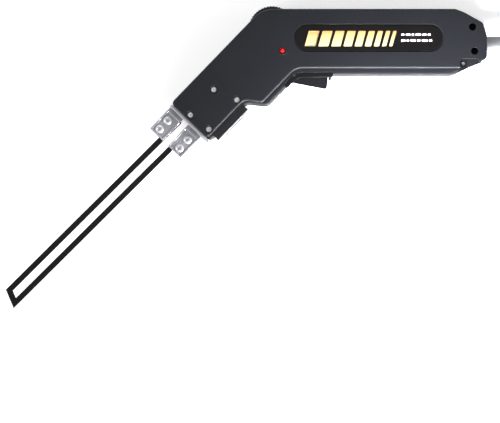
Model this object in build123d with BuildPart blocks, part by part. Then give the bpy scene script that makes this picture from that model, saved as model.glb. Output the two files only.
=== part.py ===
# Hot-blade foam cutter: pistol-shaped housing, clamped U-shaped blade, trigger, dial and mains lead.
#
# The tool lies on its side. +Z is up and runs across the thickness of the housing, +X runs back along
# the handle, and the nose points down and to the left at nose_angle from -X. The origin is where the
# middle lines of handle and nose cross, on the flat face that the tool rests on. Millimetres.

from build123d import *
import math
import os

os.makedirs("parts", exist_ok=True)

# ---------------------------------------------------------------- driving dimensions
half_thickness = 22.0      # parting plane to either side face
wall = 2.6
handle_half = 27.0         # handle middle line to its top and underside
handle_end = 175.0         # rear face
nose_angle = 46.0
nose_length = 88.9
nose_half = 22.1
guard_across = 35.7        # finger guard's front line, parallel to the nose
panel_under = 20.4         # raised side panel's lower edge on the handle
panel_guard = 30.1         # and on the finger guard
panel_nose = 18.2          # and on the nose
band_drop = 3.0            # step from the side panel down to the lower band
band_radius = 3.4
panel_radius = 1.6

running = 0.05             # radial clearance of a pin or shaft that turns
loose = 0.3                # clearance between moving pieces
fit = 0.1                  # clearance of a seated piece

dial_x = 3.3
dial_y = 10.4
dial_radius = 19.0
dial_thickness = 7.0
dial_shaft_radius = 3.0
dial_notches = 48

lamp_x = 11.5
lamp_y = -6.5
lamp_radius = 2.5

plate_length = 117.5
plate_height = 19.8
plate_x = 80.5
plate_y = 3.7
plate_depth = 0.8
plate_thickness = 0.6

screw_shank = 1.5
screw_head = 2.5
screw_head_height = 2.0
nose_recess = 3.3
rear_recess = 2.9
nose_recess_depth = 3.4
rear_recess_depth = 12.0
boss_upper = 4.2
boss_lower = 3.4

bar_width = 6.0
bar_thickness = 5.0
bar_bottom = 12.0
outer_bar = 14.5           # upper bar's distance from the middle lines
bar_offset = 0.4           # the lower bar lies this much inside its screws
nose_plate_thickness = 2.4
clamp_length = 21.2
clamp_width = 14.3
clamp_base_end = 23.6
screw_spacing = 9.4
clamp_screw_radius = 2.0
clamp_head_radius = 3.6
clamp_head_height = 2.2
clamp_hex = 2.5
clamp_plate_thickness = 2.5
clamp_rim = 0.9
clamp_shift_outer = 1.25   # middle of a clamp from the line of its screws
clamp_shift_inner = 1.05

blade_thickness = 1.5
blade_width = 15.1
leg_width = 4.6
blade_length = 200.0
tip_slant = 22.0
blade_tilt = 1.2           # the blade sits this much off the nose's direction
blade_line = -2.2          # middle of the blade's root, across the nose
blade_gap = 0.25           # between the lower leg and its screws

core_length = 36.0
core_leg = 11.0
core_outer_leg = 5.2
core_bottom = 5.0
core_top = 39.0
core_gap = 0.2             # between the core and the housing
transformer_x = 84.0

trigger_width = 19.0
trigger_hub = 2.2
pivot_x = 20.6
pivot_y = -26.0
pivot_radius = 1.25
bezel_depth = 3.2
bezel_inset = 4.0          # the bezel's ends lie this far inside the side faces

sleeve_radius = 5.65
sleeve_end_radius = 4.6
sleeve_length = 45.0
flange_depth = 2.4
flange_step = 1.6          # the flange stands out this much from the sleeve
flange_gap = 0.9           # between the flange and the wall that holds it
outlet_y = -0.6
cord_radius = 3.4

middle = half_thickness
full_thickness = 2 * half_thickness
cos_nose = math.cos(math.radians(nose_angle))
sin_nose = math.sin(math.radians(nose_angle))


def nose_point(along, across):
    """A place on the nose: along its middle line, and across it towards the underside."""
    x = -cos_nose * along + sin_nose * across
    y = -sin_nose * along - cos_nose * across
    return (x, y)


def nose_plane(height):
    return Plane(origin=(0, 0, height), x_dir=(-cos_nose, -sin_nose, 0), z_dir=(0, 0, 1))


def bend_point(nose_across, handle_y):
    """Where a line along the nose meets a line along the handle."""
    x = (nose_across + handle_y * cos_nose) / sin_nose
    return (x, handle_y)


# ---------------------------------------------------------------- outlines of the housing
top_bend = bend_point(-nose_half, handle_half)
rear_top = [(handle_end - 25, handle_half), (handle_end - 18, handle_half - 2.8)]
rear_shoulder = [(handle_end - 3.2, handle_half - 11), (handle_end, handle_half - 22)]
rear_low = (handle_end, -handle_half + 14.3)
rear_foot = (handle_end - 28.5, -handle_half)
under_bend = bend_point(guard_across, -handle_half)
guard_corner = nose_point(37.1, guard_across)
guard_root = nose_point(47.5, nose_half)
rear_slope = (rear_low[1] - rear_foot[1]) / (rear_low[0] - rear_foot[0])
panel_rear = (rear_low[0] - (rear_low[1] + panel_under) / rear_slope, -panel_under)

body_corners = [
    nose_point(nose_length, -nose_half),
    top_bend,
    *rear_top,
    *rear_shoulder,
    rear_low,
    rear_foot,
    under_bend,
    guard_corner,
    guard_root,
    nose_point(nose_length, nose_half),
]
body_radii = [3.6, 20, 10, 12, 4, 6, 4, 8, 14, 6.5, 8, 3.6]
panel_corners = [
    nose_point(nose_length, -nose_half),
    top_bend,
    *rear_top,
    *rear_shoulder,
    rear_low,
    panel_rear,
    bend_point(panel_guard, -panel_under),
    nose_point(37.5, panel_guard),
    nose_point(46.4, panel_nose),
    nose_point(nose_length, panel_nose),
]
panel_radii = [3.6, 20, 10, 12, 4, 6, 4, 3, 14, 3, 8, 2.6]

lower_rim = middle - band_drop
panel_lip = 0.6            # the wall is this much thicker round the side panel


def housing_form():
    """Outside of one half, standing on the parting plane: a low tier, and the raised side panel."""
    with BuildPart() as form:
        with BuildSketch(Plane.XY.offset(middle)):
            with BuildLine():
                FilletPolyline(*body_corners, radius=body_radii, close=True)
            make_face()
        extrude(amount=lower_rim)
        fillet(form.faces().sort_by(Axis.Z)[-1].edges(), radius=band_radius)
        with BuildSketch(Plane.XY.offset(middle)):
            with BuildLine():
                FilletPolyline(*panel_corners, radius=panel_radii, close=True)
            make_face()
        extrude(amount=half_thickness)
        fillet(form.faces().sort_by(Axis.Z)[-1].edges(), radius=panel_radius)
    return form.part


def housing_hollow():
    """Inside of one half: both tiers, one wall smaller."""
    with BuildPart() as hollow:
        with BuildSketch(Plane.XY.offset(middle)):
            with BuildLine():
                FilletPolyline(*body_corners, radius=body_radii, close=True)
            make_face()
            offset(amount=-wall, kind=Kind.INTERSECTION)
        extrude(amount=lower_rim - wall)
        with BuildSketch(Plane.XY.offset(middle)):
            with BuildLine():
                FilletPolyline(*panel_corners, radius=panel_radii, close=True)
            make_face()
            offset(amount=-wall - panel_lip, kind=Kind.INTERSECTION)
        extrude(amount=half_thickness - wall)
    return hollow.part


inner_screw_line = blade_line + blade_width / 2 + blade_gap + clamp_screw_radius
inner_bar = inner_screw_line - bar_offset
boss_line = inner_bar + bar_width / 2 + boss_lower
nose_screws = [
    nose_point(84.7, -4.4),
    nose_point(82.7, boss_line + 0.6),
    nose_point(57.2, -5.0),
    nose_point(50.2, boss_line + 0.4),
]
rear_screws = [(handle_end - 11.5, 12.6), (handle_end - 9.9, -6.7)]
corner_screw = [(handle_end - 18.8, -17.0)]
corner_floor = full_thickness - 8.0
corner_pocket = [
    (handle_end - 21.4, -12.8),
    (handle_end - 6.6, -12.8),
    (handle_end - 5.0, -25.0),
    (handle_end - 21.4, -25.0),
]
pocket_pad = [
    (handle_end - 23.4, -10.8),
    (handle_end - 4.4, -10.8),
    (handle_end - 4.4, -16.0),
    (handle_end - 12.0, -19.0),
    (handle_end - 23.4, -24.0),
]
nose_head_seat = full_thickness - nose_recess_depth
rear_head_seat = full_thickness - rear_recess_depth

bezel_top = -handle_half + bezel_depth
bezel_rear = 52.0
bezel_front = 15.5         # where the bezel ends on the finger guard, measured along the nose
shoe_start = 49.4
shoe_end = 83.9
shoe_seat = 19.3
shoe_face = 25.3
shoe_inset = 3.0
dial_slot_half = dial_thickness / 2 + loose
outlet_radius = sleeve_radius + fit
flange_start = handle_end - wall - flange_gap
flange_radius = sleeve_radius + flange_step
trigger_low = middle - trigger_width / 2
pivot = (pivot_x, pivot_y)
bar_top = bar_bottom + bar_thickness
bar_end = nose_length + nose_plate_thickness + clamp_base_end - 2.0
bar_lines = [-outer_bar, inner_bar]


def end_plane(along):
    """Across the nose: local x towards the underside, local y up."""
    return Plane(
        origin=(*nose_point(along, 0), middle),
        x_dir=(sin_nose, -cos_nose, 0),
        z_dir=(-cos_nose, -sin_nose, 0),
    )


def shoe_plane(across):
    """Under the nose, facing away from it: local x along the nose."""
    return Plane(
        origin=(*nose_point(0, across), middle),
        x_dir=(-cos_nose, -sin_nose, 0),
        z_dir=(sin_nose, -cos_nose, 0),
    )


bezel_outline = [
    (bezel_rear, bezel_top),
    bend_point(guard_across - bezel_depth, bezel_top),
    nose_point(bezel_front, guard_across - bezel_depth),
    nose_point(bezel_front, guard_across + 0.6),
    bend_point(guard_across + 0.6, -handle_half - 0.6),
    (bezel_rear - 0.6, -handle_half - 0.6),
]
bezel_radii = [0, 14 + bezel_depth, 0, 0, 13.4, 0]
core_middle = (outer_bar - inner_bar) / 2
core_room = min(handle_half - core_middle, panel_under + core_middle) - wall - panel_lip
core_half = core_room - core_gap
core_window = core_half - core_leg / 2 - core_outer_leg
rail_places = [transformer_x - 14, transformer_x + 14]
shoe_screw_places = [shoe_start + 4.2, shoe_end - 4.2]
board_low = 33.0
board_thickness = 1.6
board_box = (-8.0, -14.0, 32.0, 18.0)
board_posts = [(-4.0, -10.0), (28.0, -10.0), (28.0, 14.0)]


def cut_shared(side):
    """What both halves leave room for: bezel, shoe, dial, bars, cord outlet. side is 1 above, -1 below."""
    with BuildSketch(Plane.XY.offset(middle)) as frame_notch:
        with BuildLine():
            FilletPolyline(*bezel_outline, radius=bezel_radii, close=True)
        make_face()
        offset(amount=fit, kind=Kind.INTERSECTION)
    extrude(frame_notch.sketch, amount=side * half_thickness, mode=Mode.SUBTRACT)
    with BuildSketch(nose_plane(middle)) as shoe_rebate:
        with Locations(((shoe_start + shoe_end) / 2, (shoe_seat + shoe_face) / 2)):
            Rectangle(shoe_end - shoe_start + 2 * fit, shoe_face - shoe_seat + 2 * fit)
    extrude(shoe_rebate.sketch, amount=side * half_thickness, mode=Mode.SUBTRACT)
    with BuildSketch(Plane.XY.offset(middle)) as dial_slot:
        with Locations((dial_x, dial_y)):
            Circle(dial_radius + 2 * loose)
    extrude(dial_slot.sketch, amount=side * dial_slot_half, mode=Mode.SUBTRACT)
    with BuildSketch(Plane.YZ.offset(handle_end + 1)) as outlet:
        with Locations((outlet_y, middle)):
            Circle(outlet_radius)
    extrude(outlet.sketch, amount=-wall - 2, mode=Mode.SUBTRACT)
    with BuildSketch(Plane.YZ.offset(handle_end - wall)) as flange_room:
        with Locations((outlet_y, middle)):
            Circle(flange_radius + fit)
    extrude(flange_room.sketch, amount=-flange_gap - flange_depth - fit, mode=Mode.SUBTRACT)
    with BuildSketch(shoe_plane(shoe_seat)) as shoe_holes:
        with Locations(*[(place, 0) for place in shoe_screw_places]):
            Circle(1.45)
    extrude(shoe_holes.sketch, amount=-6, mode=Mode.SUBTRACT)


def inner_blocks(side):
    """Ribs of one half, from inside its wall: the pad under the shoe and the transformer's rails."""
    wall_face = middle + side * (half_thickness - wall)
    rail_face = core_top + fit if side > 0 else core_bottom - fit
    with BuildSketch(nose_plane(middle)) as shoe_pad:
        with Locations(((shoe_start + shoe_end) / 2, shoe_seat - 1.2)):
            Rectangle(shoe_end - shoe_start + 4, 2.6)
    extrude(shoe_pad.sketch, amount=side * (lower_rim - 1))
    with BuildSketch(Plane.XY.offset(wall_face + side * 0.5)) as rails:
        with Locations(*[(place, core_middle) for place in rail_places]):
            Rectangle(3, 2 * core_half - 6)
    extrude(rails.sketch, amount=rail_face - wall_face - side * 0.5)


def boss_stage(places, radius, start, length):
    """Screw bosses, kept inside the outline of the housing."""
    with BuildSketch(Plane.XY.offset(start)) as bosses:
        with Locations(*places):
            Circle(radius)
        with BuildLine():
            FilletPolyline(*body_corners, radius=body_radii, close=True)
        make_face(mode=Mode.INTERSECT)
    extrude(bosses.sketch, amount=length)


all_screws = nose_screws + rear_screws + corner_screw

# ---------------------------------------------------------------- housing
with BuildPart() as housing_upper:
    add(housing_form())
    add(housing_hollow(), mode=Mode.SUBTRACT)
    boss_stage(all_screws, boss_upper, middle, half_thickness - wall + 0.5)
    inner_blocks(1)
    with BuildSketch(Plane.XY.offset(corner_floor - wall)):
        with BuildLine():
            Polyline(*pocket_pad, close=True)
        make_face()
    extrude(amount=8.0)
    with BuildSketch(Plane.XY.offset(corner_floor)):
        with BuildLine():
            FilletPolyline(*corner_pocket, radius=2.0, close=True)
        make_face()
    extrude(amount=9.0, mode=Mode.SUBTRACT)
    with BuildSketch(Plane.XY.offset(board_low + board_thickness + fit)):
        with Locations(*board_posts):
            Circle(2.2)
    extrude(amount=full_thickness - wall + 0.5 - board_low - board_thickness - fit)
    cut_shared(1)
    with BuildSketch(Plane.XY.offset(full_thickness)):
        with Locations(*nose_screws):
            Circle(nose_recess)
    extrude(amount=-nose_recess_depth, mode=Mode.SUBTRACT)
    with BuildSketch(Plane.XY.offset(full_thickness)):
        with Locations(*rear_screws):
            Circle(rear_recess)
    extrude(amount=-rear_recess_depth, mode=Mode.SUBTRACT)
    with BuildSketch(Plane.XY.offset(corner_floor)):
        with Locations(*corner_screw):
            Circle(rear_recess)
    extrude(amount=rear_head_seat - corner_floor, mode=Mode.SUBTRACT)
    with BuildSketch(Plane.XY.offset(full_thickness)):
        with Locations(*all_screws):
            Circle(screw_shank + 0.2)
    extrude(amount=-half_thickness, mode=Mode.SUBTRACT)
    with BuildSketch(Plane.XY.offset(full_thickness)):
        with Locations((plate_x, plate_y)):
            SlotOverall(plate_length + 2.4, plate_height + 2.4)
    extrude(amount=-plate_depth, mode=Mode.SUBTRACT)
    with BuildSketch(Plane.XY.offset(full_thickness)):
        with Locations((lamp_x, lamp_y)):
            Circle(lamp_radius + 0.35)
    extrude(amount=-wall - 1, mode=Mode.SUBTRACT)

with BuildPart() as housing_lower:
    mirror(housing_form(), about=Plane.XY.offset(middle))
    add(mirror(housing_hollow(), about=Plane.XY.offset(middle), mode=Mode.PRIVATE), mode=Mode.SUBTRACT)
    boss_stage(all_screws, boss_lower, wall - 0.5, middle - wall + 0.5)
    inner_blocks(-1)
    cut_shared(-1)
    with BuildSketch(Plane.XY.offset(middle)):
        with Locations(*all_screws):
            Circle(screw_shank + running)
    extrude(amount=-middle + 5, mode=Mode.SUBTRACT)
    with BuildSketch(end_plane(nose_length + 1)):
        with Locations(*[(line, bar_bottom + bar_thickness / 2 - middle) for line in bar_lines]):
            Rectangle(bar_width + 2 * loose, bar_thickness + 2 * loose)
    extrude(amount=-wall - 2, mode=Mode.SUBTRACT)


# ---------------------------------------------------------------- screws of the housing
with BuildPart() as housing_screws:
    with BuildSketch(Plane.XY.offset(nose_head_seat)):
        with Locations(*nose_screws):
            Circle(screw_head)
    extrude(amount=screw_head_height)
    with BuildSketch(Plane.XY.offset(rear_head_seat)):
        with Locations(*rear_screws, *corner_screw):
            Circle(screw_head)
    extrude(amount=screw_head_height)
    chamfer(housing_screws.edges().filter_by(GeomType.CIRCLE).group_by(Axis.Z)[-1], length=0.5)
    with BuildSketch(Plane.XY.offset(nose_head_seat + screw_head_height)):
        with Locations(*nose_screws):
            RectangleRounded(2.6, 0.7, 0.2)
            RectangleRounded(0.7, 2.6, 0.2)
    extrude(amount=-1.2, mode=Mode.SUBTRACT)
    with BuildSketch(Plane.XY.offset(6.5)):
        with Locations(*nose_screws):
            Circle(screw_shank)
    extrude(amount=nose_head_seat - 6.5)
    with BuildSketch(Plane.XY.offset(6.5)):
        with Locations(*rear_screws, *corner_screw):
            Circle(screw_shank)
    extrude(amount=rear_head_seat - 6.5)

# ---------------------------------------------------------------- name plate and pilot lamp
with BuildPart() as name_plate:
    with BuildSketch(Plane.XY.offset(full_thickness - plate_depth)):
        with Locations((plate_x, plate_y)):
            SlotOverall(plate_length, plate_height)
    extrude(amount=plate_thickness)

lamp_bottom = board_low + board_thickness
lamp_flange = lamp_bottom + 2.4
lamp_top = full_thickness - 0.4
with BuildPart() as pilot_lamp:
    with BuildSketch(Plane.XZ.offset(-lamp_y)):
        with BuildLine():
            Polyline(
                (lamp_x, lamp_flange),
                (lamp_x + lamp_radius + 0.4, lamp_flange),
                (lamp_x + lamp_radius + 0.4, lamp_flange + 1),
                (lamp_x + lamp_radius, lamp_flange + 1),
                (lamp_x + lamp_radius, lamp_top - lamp_radius),
            )
            RadiusArc((lamp_x + lamp_radius, lamp_top - lamp_radius), (lamp_x, lamp_top), -lamp_radius)
            Line((lamp_x, lamp_top), (lamp_x, lamp_flange))
        make_face()
    revolve(axis=Axis((lamp_x, lamp_y, 0), (0, 0, 1)))
    with BuildSketch(Plane.XY.offset(lamp_bottom)):
        with Locations((lamp_x - 1.27, lamp_y), (lamp_x + 1.27, lamp_y)):
            Rectangle(0.5, 0.5)
    extrude(amount=lamp_flange - lamp_bottom)

# ---------------------------------------------------------------- temperature dial
dial_low = middle - dial_thickness / 2
with BuildPart() as dial_wheel:
    with BuildSketch(Plane.XY.offset(dial_low)):
        with Locations((dial_x, dial_y)):
            Circle(dial_radius)
            Circle(dial_shaft_radius + running, mode=Mode.SUBTRACT)
    extrude(amount=dial_thickness)
    chamfer(dial_wheel.edges().filter_by(GeomType.CIRCLE).sort_by(SortBy.RADIUS)[-2:], length=0.8)
    with BuildSketch(Plane.XY.offset(dial_low)):
        with Locations((dial_x, dial_y)):
            with PolarLocations(dial_radius + 0.2, dial_notches):
                Circle(0.65)
    extrude(amount=dial_thickness, mode=Mode.SUBTRACT)
    with BuildSketch(Plane.XY.offset(dial_low + dial_thickness)):
        with Locations((dial_x, dial_y)):
            Circle(dial_radius - 4)
            Circle(dial_shaft_radius + 3, mode=Mode.SUBTRACT)
    extrude(amount=-1.5, mode=Mode.SUBTRACT)

pot_low = dial_low + dial_thickness + 1.0
with BuildPart() as dial_shaft:
    with BuildSketch(Plane.XY.offset(dial_low)):
        with Locations((dial_x, dial_y)):
            Circle(dial_shaft_radius)
    extrude(amount=board_low - 1 - dial_low)

with BuildPart() as potentiometer:
    with BuildSketch(Plane.XY.offset(pot_low)):
        with Locations((dial_x, dial_y)):
            Circle(8.0)
            Circle(dial_shaft_radius + running, mode=Mode.SUBTRACT)
    extrude(amount=board_low - pot_low)
    fillet(potentiometer.edges().filter_by(GeomType.CIRCLE).sort_by(SortBy.RADIUS)[-2:], radius=0.6)

# ---------------------------------------------------------------- power control board
with BuildPart() as circuit_board:
    with BuildSketch(Plane.XY.offset(board_low)):
        with Locations(((board_box[0] + board_box[2]) / 2, (board_box[1] + board_box[3]) / 2)):
            RectangleRounded(board_box[2] - board_box[0], board_box[3] - board_box[1], 2)
        with Locations((dial_x, dial_y)):
            Circle(dial_shaft_radius + 0.5, mode=Mode.SUBTRACT)
    extrude(amount=board_thickness)

component_base = board_low + board_thickness
with BuildPart() as board_components:
    with BuildSketch(Plane.XY.offset(component_base)):
        with Locations((21, 1)):
            Rectangle(10, 4.4)
    extrude(amount=5.5)
    with BuildSketch(Plane.XY.offset(component_base)):
        with Locations((21, 6)):
            Rectangle(12, 1.6)
        with Locations((18, 9.2), (21, 9.2), (24, 9.2)):
            Rectangle(1.2, 4.8)
    extrude(amount=5.8)
    with BuildSketch(Plane.XY.offset(component_base)):
        with Locations((3.5, -8)):
            RectangleRounded(8, 5, 0.8)
    extrude(amount=5.0)
    with BuildSketch(Plane.XY.offset(component_base)):
        with Locations((20, -8), (20, -11)):
            Rectangle(6.5, 2.2)
    extrude(amount=2.2)
    with BuildSketch(Plane.XY.offset(component_base)):
        with Locations((-3.5, 1)):
            Circle(2.6)
    extrude(amount=5.4)

# ---------------------------------------------------------------- trigger group
opening_front = pivot_x - 4.0
opening_rear = bezel_rear - 3.6
with BuildPart() as trigger_bezel:
    with BuildSketch(Plane.XY.offset(bezel_inset)):
        with BuildLine():
            FilletPolyline(*bezel_outline, radius=bezel_radii, close=True)
        make_face()
    extrude(amount=full_thickness - 2 * bezel_inset)
    with BuildSketch(Plane.XY.offset(trigger_low - loose - 3.5)):
        with Locations(pivot):
            Circle(3.2)
    extrude(amount=trigger_width + 2 * loose + 7)
    with BuildSketch(Plane.XY.offset(trigger_low - loose)):
        with Locations(((opening_front + opening_rear) / 2, -handle_half)):
            Rectangle(opening_rear - opening_front, 30)
    extrude(amount=trigger_width + 2 * loose, mode=Mode.SUBTRACT)
    with BuildSketch(Plane.XY.offset(middle - 4)):
        with Locations((opening_rear + 1.1, -handle_half - 1.2)):
            RectangleRounded(2.1, 4.0, 0.9)
    extrude(amount=8)
    with BuildSketch(Plane.XY.offset(bezel_inset)):
        with Locations(pivot):
            Circle(pivot_radius)
    extrude(amount=full_thickness - 2 * bezel_inset, mode=Mode.SUBTRACT)

pin_half = trigger_width / 2 + loose + 3.3
with BuildPart() as trigger_pin:
    with BuildSketch(Plane.XY.offset(middle - pin_half)):
        with Locations(pivot):
            Circle(pivot_radius)
    extrude(amount=2 * pin_half)

trigger_top = bezel_top - 0.9
trigger_back = opening_rear - 0.5
trigger_outline = [
    (pivot_x - 1.6, pivot_y - 5.9),
    (trigger_back - 2.3, -handle_half - 10.1),
    (trigger_back - 0.9, -handle_half - 9.2),
    (trigger_back, -handle_half - 3.8),
    (trigger_back, trigger_top),
    (pivot_x, trigger_top + 0.2),
]
with BuildPart() as trigger:
    with BuildSketch(Plane.XY.offset(trigger_low)):
        with BuildLine():
            Polyline(*trigger_outline, close=True)
        make_face()
        with Locations(pivot):
            Circle(trigger_hub)
            Circle(pivot_radius + running, mode=Mode.SUBTRACT)
    extrude(amount=trigger_width)
    fillet(trigger.edges().filter_by(Axis.Z).sort_by(Axis.Y)[0:2], radius=0.8)
    with BuildSketch(Plane.XY.offset(trigger_low + 1.6)):
        with Locations((pivot_x + 15, trigger_top - 0.7)):
            Rectangle(14, 1.6)
    extrude(amount=2.4, mode=Mode.SUBTRACT)

switch_x = 38.0
switch_low = -19.5
switch_gap = 0.5           # between the switch and the lower bar
switch_size = (24.0, -inner_bar - bar_width / 2 - switch_gap - switch_low, 16.0)
with BuildPart() as switch_body:
    with Locations((switch_x, switch_low + switch_size[1] / 2, middle)):
        Box(*switch_size)
    fillet(switch_body.edges().filter_by(Axis.Z), radius=0.8)
    with BuildSketch(Plane.XZ.offset(-switch_low)):
        with Locations((switch_x, middle)):
            Rectangle(3 + 2 * fit, 5 + 2 * fit)
    extrude(amount=-6.5, mode=Mode.SUBTRACT)
    with Locations((switch_x, switch_low + switch_size[1] + 1.9, middle)):
        with GridLocations(12, 0, 2, 1):
            Box(0.8, 4, 4.8)

plunger_tip = trigger_top + 0.4
with BuildPart() as switch_plunger:
    with BuildSketch(Plane.XY.offset(middle - 2.5)):
        with BuildLine():
            Polyline(
                (switch_x - 1.5, plunger_tip + 1.5),
                (switch_x - 1.5, switch_low + 3),
                (switch_x + 1.5, switch_low + 3),
                (switch_x + 1.5, plunger_tip + 1.5),
            )
            RadiusArc((switch_x + 1.5, plunger_tip + 1.5), (switch_x - 1.5, plunger_tip + 1.5), 1.5)
        make_face()
    extrude(amount=5)

spring_x = 29.0
spring_top = switch_low - fit
spring_length = spring_top - trigger_top - fit
with BuildPart() as trigger_spring:
    with BuildLine() as spring_line:
        Helix(
            pitch=spring_length / 5.5,
            height=spring_length - 0.6,
            radius=1.9,
            center=(spring_x, trigger_top + fit + 0.3, middle),
            direction=(0, 1, 0),
        )
    with BuildSketch(Plane(origin=spring_line.line @ 0, z_dir=spring_line.line % 0)):
        Circle(0.28)
    sweep()

# ---------------------------------------------------------------- transformer
core_depth = 2 * core_half
window_places = [
    core_middle - (core_leg + core_window) / 2,
    core_middle + (core_leg + core_window) / 2,
]
window_low = core_bottom + core_outer_leg
window_high = core_top - core_outer_leg
with BuildPart() as transformer_core:
    with BuildSketch(Plane.YZ.offset(transformer_x - core_length / 2)):
        with Locations((core_middle, (core_bottom + core_top) / 2)):
            Rectangle(core_depth, core_top - core_bottom)
        with Locations(*[(place, (window_low + window_high) / 2) for place in window_places]):
            Rectangle(core_window, window_high - window_low, mode=Mode.SUBTRACT)
    extrude(amount=core_length)

bobbin_low = bar_top + 1.0
bobbin_high = window_high - 0.3
coil_thickness = core_window - 1.6
flange_size = (core_length + 2 * coil_thickness, core_leg + 2 * coil_thickness)
with BuildPart() as primary_bobbin:
    with BuildSketch(Plane.XY.offset(bobbin_low)):
        with Locations((transformer_x, core_middle)):
            RectangleRounded(core_length + 2.6, core_leg + 2.6, 1.2)
            Rectangle(core_length + 0.4, core_leg + 0.4, mode=Mode.SUBTRACT)
    extrude(amount=bobbin_high - bobbin_low)
    with BuildSketch(Plane.XY.offset(bobbin_low), Plane.XY.offset(bobbin_high - 1)):
        with Locations((transformer_x, core_middle)):
            RectangleRounded(*flange_size, 2)
            Rectangle(core_length + 0.4, core_leg + 0.4, mode=Mode.SUBTRACT)
    extrude(amount=1)

with BuildPart() as primary_winding:
    with BuildSketch(Plane.XY.offset(bobbin_low + 1 + fit)):
        with Locations((transformer_x, core_middle)):
            RectangleRounded(flange_size[0] - 1.6, flange_size[1] - 1.6, 4)
            RectangleRounded(core_length + 2.6 + fit, core_leg + 2.6 + fit, 1.2, mode=Mode.SUBTRACT)
    extrude(amount=bobbin_high - bobbin_low - 2 - 2 * fit)

turn_x = transformer_x + core_length / 2 + 13
first_row = nose_length + nose_plate_thickness + 9.2
clamp_screw_rows = [first_row, first_row + screw_spacing]
clamp_screw_lines = [-outer_bar, inner_screw_line]
with BuildPart() as secondary_bar:
    with BuildSketch(Plane.XY.offset(bar_bottom)):
        with BuildLine():
            FilletPolyline(
                nose_point(bar_end, -outer_bar),
                bend_point(-outer_bar, outer_bar),
                (turn_x, outer_bar),
                (turn_x, -inner_bar),
                bend_point(inner_bar, -inner_bar),
                nose_point(bar_end, inner_bar),
                radius=[10, 6, 6, 10],
            )
        trace(line_width=bar_width)
    extrude(amount=bar_thickness)
    with BuildSketch(nose_plane(bar_bottom)):
        with Locations(*[(row, line) for row in clamp_screw_rows for line in clamp_screw_lines]):
            Circle(clamp_screw_radius + running)
    extrude(amount=bar_thickness, mode=Mode.SUBTRACT)

# ---------------------------------------------------------------- nose plate and clamps
with BuildPart() as nose_plate:
    with BuildSketch(end_plane(nose_length + 0.05)):
        Rectangle(2 * nose_half - 2.4, full_thickness - 6)
        with Locations(*[(line, bar_bottom + bar_thickness / 2 - middle) for line in bar_lines]):
            Rectangle(bar_width + 2 * fit, bar_thickness + 2 * fit, mode=Mode.SUBTRACT)
    extrude(amount=nose_plate_thickness - 0.1)
    chamfer(nose_plate.faces().sort_by(SortBy.AREA)[-1].outer_wire().edges(), length=0.4)

base_start = nose_length + nose_plate_thickness
base_top = middle - blade_thickness / 2 - fit
clamp_start = base_start + clamp_base_end - clamp_length
plate_low = middle + blade_thickness / 2 + fit
clamp_lines = [clamp_shift_outer - outer_bar, inner_screw_line - clamp_shift_inner]
heel_width = 3.0

with BuildPart() as clamp_bases:
    with BuildSketch(nose_plane(bar_top)):
        with Locations(*[(base_start + clamp_base_end / 2, line) for line in clamp_lines]):
            Rectangle(clamp_base_end, clamp_width)
    extrude(amount=base_top - bar_top)
    chamfer(clamp_bases.edges().filter_by(Axis.Z), length=0.5)
    with BuildSketch(nose_plane(base_top)):
        with Locations(*[(row, line) for row in clamp_screw_rows for line in clamp_screw_lines]):
            Circle(clamp_screw_radius + running)
    extrude(amount=bar_top - base_top, mode=Mode.SUBTRACT)


def clamp_plate_solid(line, screw_line, heel_side):
    """One clamp plate: a tray with a raised rim, and a heel on the side away from the blade."""
    plate_middle = clamp_start + clamp_length / 2
    with BuildPart() as tray:
        with BuildSketch(nose_plane(plate_low)) as sole:
            with Locations((plate_middle, line)):
                RectangleRounded(clamp_length, clamp_width, 0.8)
        extrude(sole.sketch, amount=clamp_plate_thickness + clamp_rim)
        with BuildSketch(nose_plane(plate_low + clamp_plate_thickness)) as tray_floor:
            with Locations((plate_middle, line)):
                RectangleRounded(clamp_length - 2.4, clamp_width - 2.4, 0.6)
        extrude(tray_floor.sketch, amount=clamp_rim, mode=Mode.SUBTRACT)
        with BuildSketch(nose_plane(plate_low)) as heel:
            with Locations((plate_middle, line + heel_side * (clamp_width - heel_width) / 2)):
                Rectangle(clamp_length - 1, heel_width - 0.2)
        extrude(heel.sketch, amount=base_top + fit - plate_low)
        with BuildSketch(nose_plane(plate_low)) as screw_holes:
            with Locations(*[(row, screw_line) for row in clamp_screw_rows]):
                Circle(clamp_screw_radius + running)
        extrude(screw_holes.sketch, amount=clamp_plate_thickness, mode=Mode.SUBTRACT)
    return tray.part


with BuildPart() as clamp_plate_1:
    add(clamp_plate_solid(clamp_lines[0], clamp_screw_lines[0], -1))

with BuildPart() as clamp_plate_2:
    add(clamp_plate_solid(clamp_lines[1], clamp_screw_lines[1], 1))

head_low = plate_low + clamp_plate_thickness + running


def clamp_screw_solid(row, line):
    """Button head socket screw, standing on its clamp plate."""
    x, y = nose_point(row, line)
    with BuildPart() as screw:
        with BuildSketch(Plane.XZ.offset(-y)) as half_section:
            with BuildLine():
                Polyline(
                    (x, bar_bottom + 0.4),
                    (x + clamp_screw_radius, bar_bottom + 0.4),
                    (x + clamp_screw_radius, head_low),
                    (x + clamp_head_radius, head_low),
                    (x + clamp_head_radius, head_low + 0.5),
                )
                ThreePointArc(
                    (x + clamp_head_radius, head_low + 0.5),
                    (x + clamp_head_radius * 0.78, head_low + clamp_head_height * 0.74),
                    (x + clamp_head_radius * 0.46, head_low + clamp_head_height),
                )
                Polyline(
                    (x + clamp_head_radius * 0.46, head_low + clamp_head_height),
                    (x, head_low + clamp_head_height),
                    (x, bar_bottom + 0.4),
                )
            make_face()
        revolve(half_section.sketch, axis=Axis((x, y, 0), (0, 0, 1)))
        with BuildSketch(Plane.XY.offset(head_low + clamp_head_height)) as socket:
            with Locations((x, y)):
                RegularPolygon(clamp_hex / 2, 6, major_radius=False)
        extrude(socket.sketch, amount=-1.4, mode=Mode.SUBTRACT)
    return screw.part


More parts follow.
